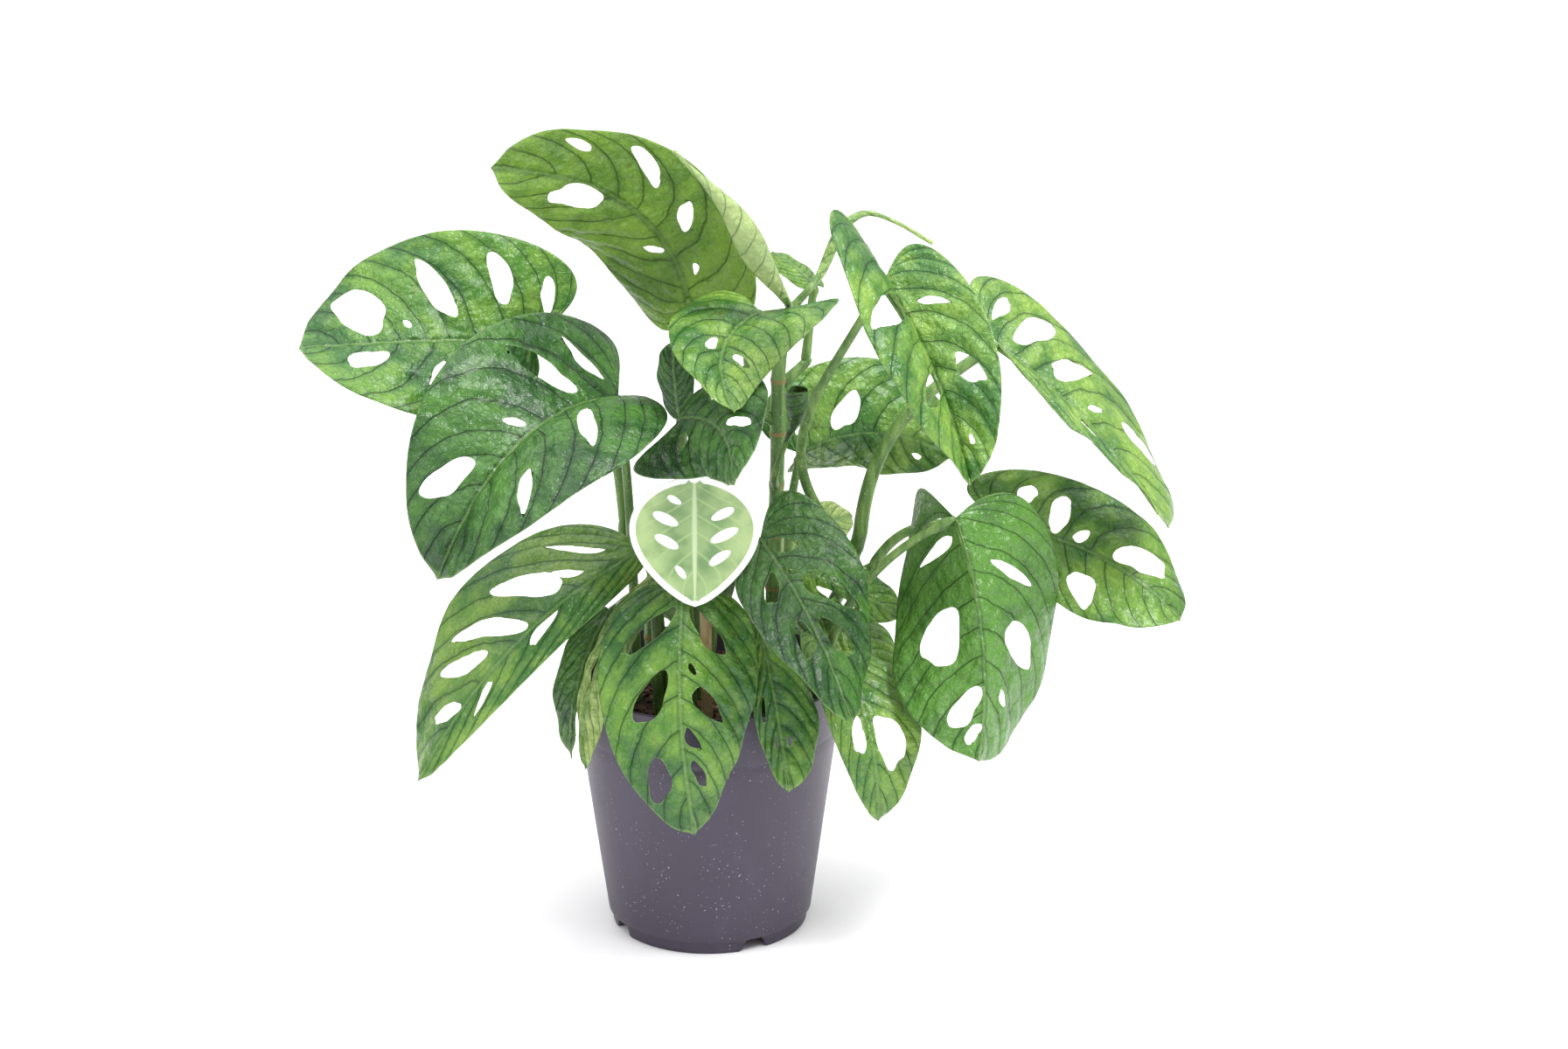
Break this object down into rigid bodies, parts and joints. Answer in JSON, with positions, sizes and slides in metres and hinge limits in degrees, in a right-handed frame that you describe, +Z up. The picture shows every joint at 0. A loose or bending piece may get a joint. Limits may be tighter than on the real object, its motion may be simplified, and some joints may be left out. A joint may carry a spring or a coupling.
{
  "type": "potted monstera plant",
  "caption": "Potted climbing monstera with holed oval leaves on long stalks, in a tapered plastic nursery pot of soil, with a leaf-shaped plant label on a stick.",
  "frame": {"origin": "centre of the flat pad under the pot, on the surface it stands on", "axes": "+Z up, the front of the plant towards -Y, +X to the right seen from the front"},
  "size_m": [0.3762, 0.2129, 0.3635],
  "materials": {
    "pot": "satin",
    "soil": "matte",
    "card": "satin",
    "stick": "matte",
    "stem": "satin",
    "stalk": "satin",
    "leaf_dark": "satin",
    "leaf_mid": "satin",
    "leaf_light": "satin",
    "leaf_pale": "satin"
  },
  "bodies": {
    "root": {"pot": "pot", "soil": "soil", "label_card": "card", "label_stick": "stick", "stem_left": "stem", "stem_center": "stem", "stem_right": "stem", "leaf_crown_left": "leaf_mid", "stalk_crown_left": "stalk", "leaf_left_upper": "leaf_mid", "stalk_left_upper": "stalk", "leaf_left_front": "leaf_dark", "stalk_left_front": "stalk", "leaf_center_dark": "leaf_dark", "stalk_center_dark": "stalk", "leaf_center_small": "leaf_dark", "stalk_center_small": "stalk", "leaf_center_top": "leaf_light", "stalk_center_top": "stalk", "leaf_right_top": "leaf_light", "stalk_right_top": "stalk", "leaf_right_back": "leaf_light", "stalk_right_back": "stalk", "leaf_back_small": "leaf_mid", "stalk_back_small": "stalk", "leaf_center_back": "leaf_light", "stalk_center_back": "stalk", "leaf_right_front": "leaf_dark", "stalk_right_front": "stalk", "leaf_right_low": "leaf_mid", "stalk_right_low": "stalk", "leaf_left_low": "leaf_light", "stalk_left_low": "stalk", "leaf_front_center": "leaf_mid", "stalk_front_center": "stalk", "leaf_left_shadow": "leaf_dark", "stalk_left_shadow": "stalk", "leaf_left_edge": "leaf_pale", "stalk_left_edge": "stalk", "leaf_center_right": "leaf_dark", "stalk_center_right": "stalk", "leaf_rim_right": "leaf_mid", "stalk_rim_right": "stalk", "leaf_pot_right": "leaf_light", "stalk_pot_right": "stalk", "leaf_right_mid": "leaf_mid", "stalk_right_mid": "stalk", "leaf_right_under": "leaf_light", "stalk_right_under": "stalk", "leaf_back_low": "leaf_pale", "stalk_back_low": "stalk", "leaf_rear_left": "leaf_mid", "stalk_rear_left": "stalk", "leaf_rear_right": "leaf_dark", "stalk_rear_right": "stalk", "leaf_crown_rolled": "leaf_pale", "leaf_top_rolled": "leaf_pale", "leaf_funnel": "leaf_dark"}
  },
  "joints": []
}
